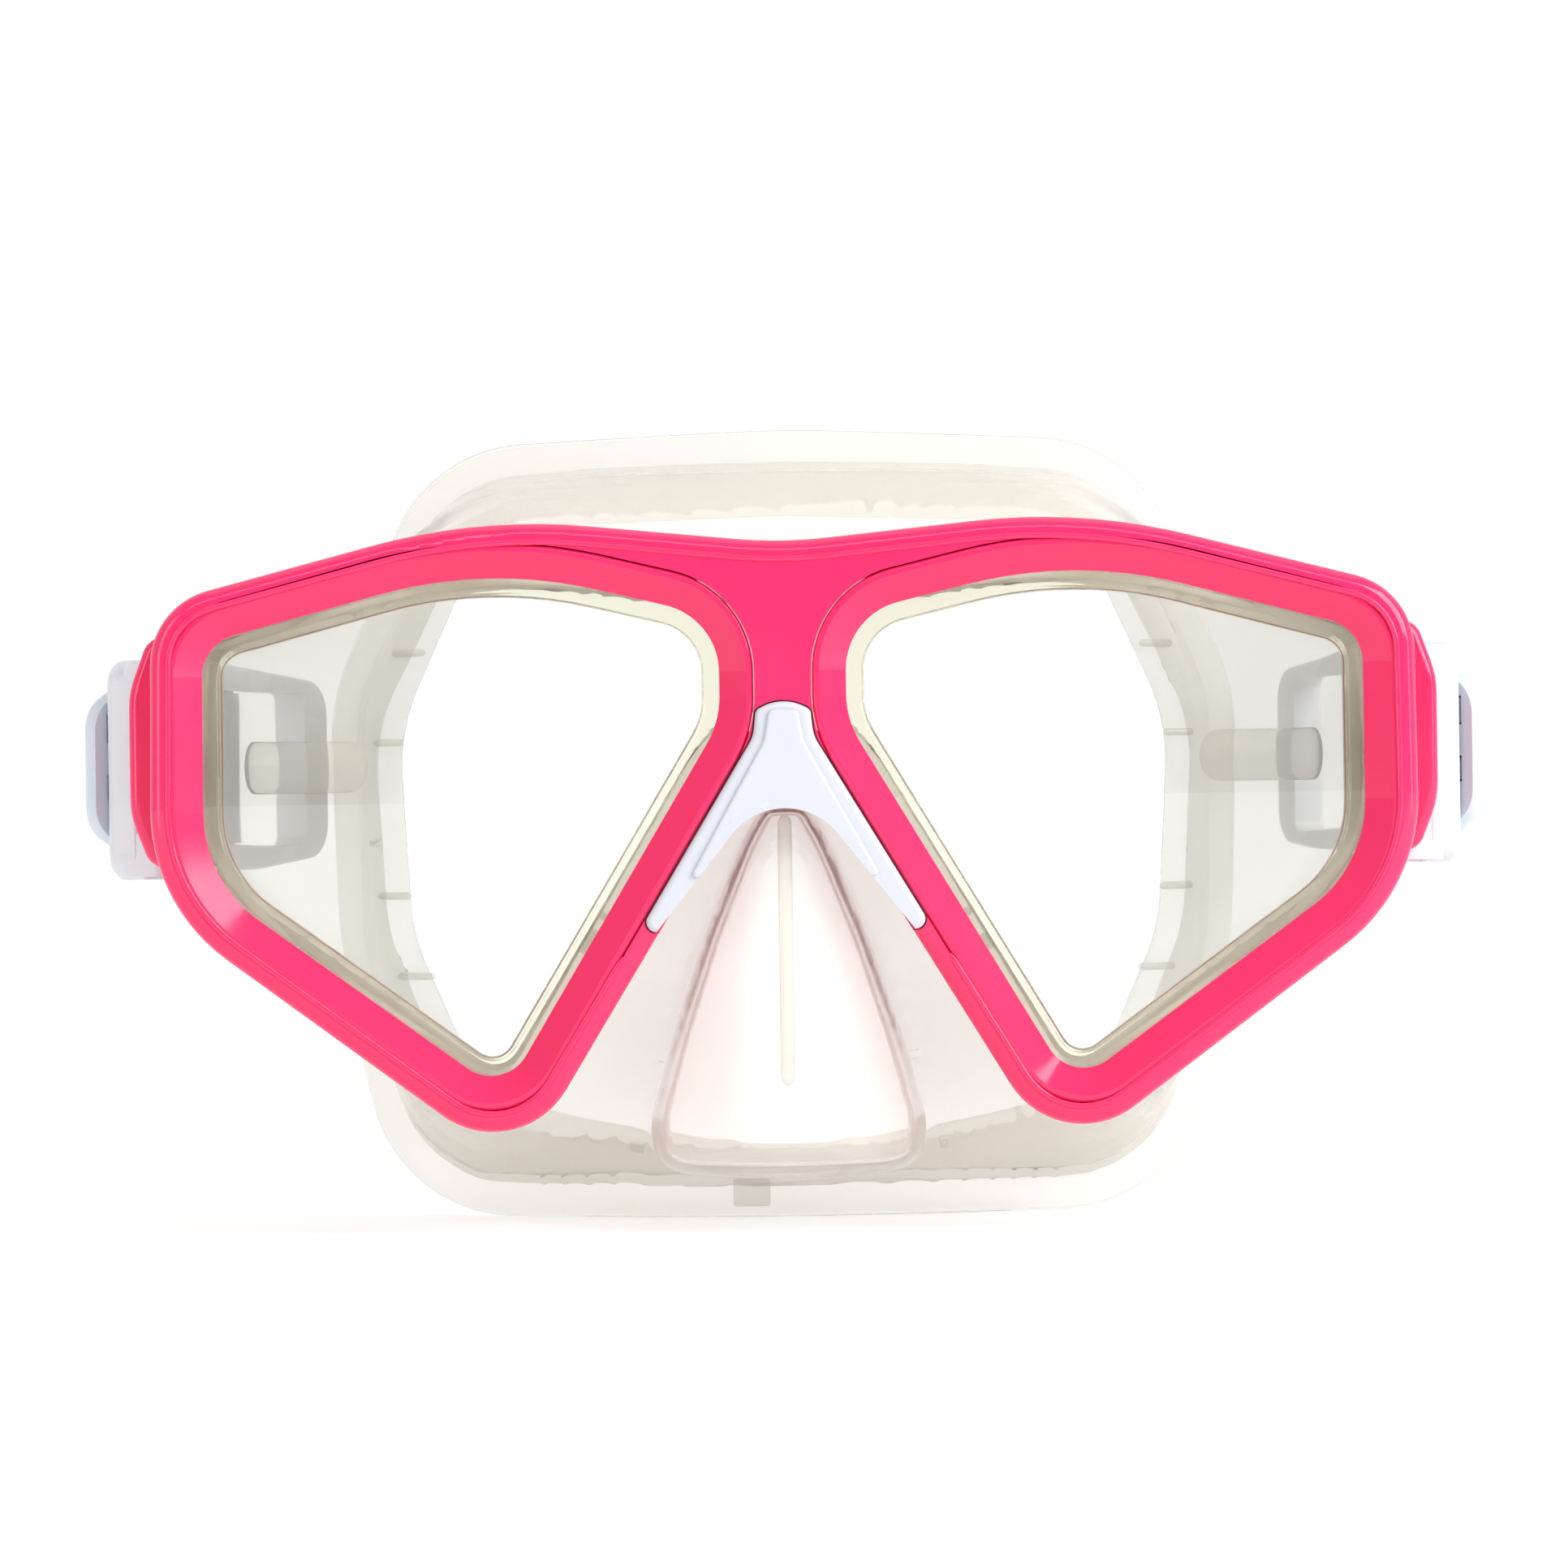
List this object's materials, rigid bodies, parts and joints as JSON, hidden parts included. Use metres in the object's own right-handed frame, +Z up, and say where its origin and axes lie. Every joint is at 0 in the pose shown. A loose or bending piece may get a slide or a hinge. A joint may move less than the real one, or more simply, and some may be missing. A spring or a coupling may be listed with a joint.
{
  "type": "diving mask",
  "caption": "Low-volume diving mask with angular twin windows in a pink frame, a clear silicone skirt with a nose pocket, a white nose clip and swinging strap buckles.",
  "frame": {"origin": "middle of the foot of the bounding box, under the middle plane of the mask", "axes": "+X to the right as seen from the front, +Y towards the wearer, +Z up"},
  "size_m": [0.1843, 0.0692, 0.1061],
  "materials": {
    "pink_plastic": "glossy",
    "white_plastic": "satin",
    "buckle_plastic": "satin",
    "lever_plastic": "glossy",
    "roller_plastic": "matte",
    "clear_silicone": "soft, translucent",
    "tempered_glass": "polished",
    "steel": "brushed"
  },
  "bodies": {
    "mask": {"front_frame": "pink_plastic", "rear_frame": "pink_plastic", "right_lens_bezel": "pink_plastic", "left_lens_bezel": "pink_plastic", "right_lens": "tempered_glass", "left_lens": "tempered_glass", "nose_bridge_clip": "white_plastic", "skirt": "clear_silicone", "right_hinge_pin": "steel", "left_hinge_pin": "steel"},
    "right_buckle": {"right_buckle_body": "buckle_plastic", "right_roller_pin": "steel", "right_lever_pin": "steel"},
    "right_roller": {"right_strap_roller": "roller_plastic"},
    "right_lever": {"right_release_lever": "lever_plastic"},
    "left_buckle": {"left_buckle_body": "buckle_plastic", "left_roller_pin": "steel", "left_lever_pin": "steel"},
    "left_roller": {"left_strap_roller": "roller_plastic"},
    "left_lever": {"left_release_lever": "lever_plastic"}
  },
  "joints": [
    {"name": "right_buckle_swing", "type": "hinge", "parent": "mask", "child": "right_buckle", "pos_m": [0.0816, -0.01432, 0.06138], "axis": [0, 0, 1], "range_deg": [-39, 8]},
    {"name": "right_roller_spin", "type": "hinge", "parent": "right_buckle", "child": "right_roller", "pos_m": [0.07841, 0.00785, 0.06138], "axis": [0, 0, 1], "continuous": true},
    {"name": "right_release_lever_lift", "type": "hinge", "parent": "right_buckle", "child": "right_lever", "pos_m": [0.08964, -0.01155, 0.06138], "axis": [0, 0, 1], "range_deg": [-13, 0], "stiffness_Nm_per_rad": 0.02, "springref_deg": 11.46},
    {"name": "left_buckle_swing", "type": "hinge", "parent": "mask", "child": "left_buckle", "pos_m": [-0.0816, -0.01432, 0.06138], "axis": [0, 0, 1], "range_deg": [-1, 46]},
    {"name": "left_roller_spin", "type": "hinge", "parent": "left_buckle", "child": "left_roller", "pos_m": [-0.07573, 0.00729, 0.06138], "axis": [0, 0, 1], "continuous": true},
    {"name": "left_release_lever_lift", "type": "hinge", "parent": "left_buckle", "child": "left_lever", "pos_m": [-0.08924, -0.0106, 0.06138], "axis": [0, 0, 1], "range_deg": [0, 13], "stiffness_Nm_per_rad": 0.02, "springref_deg": -11.46}
  ]
}
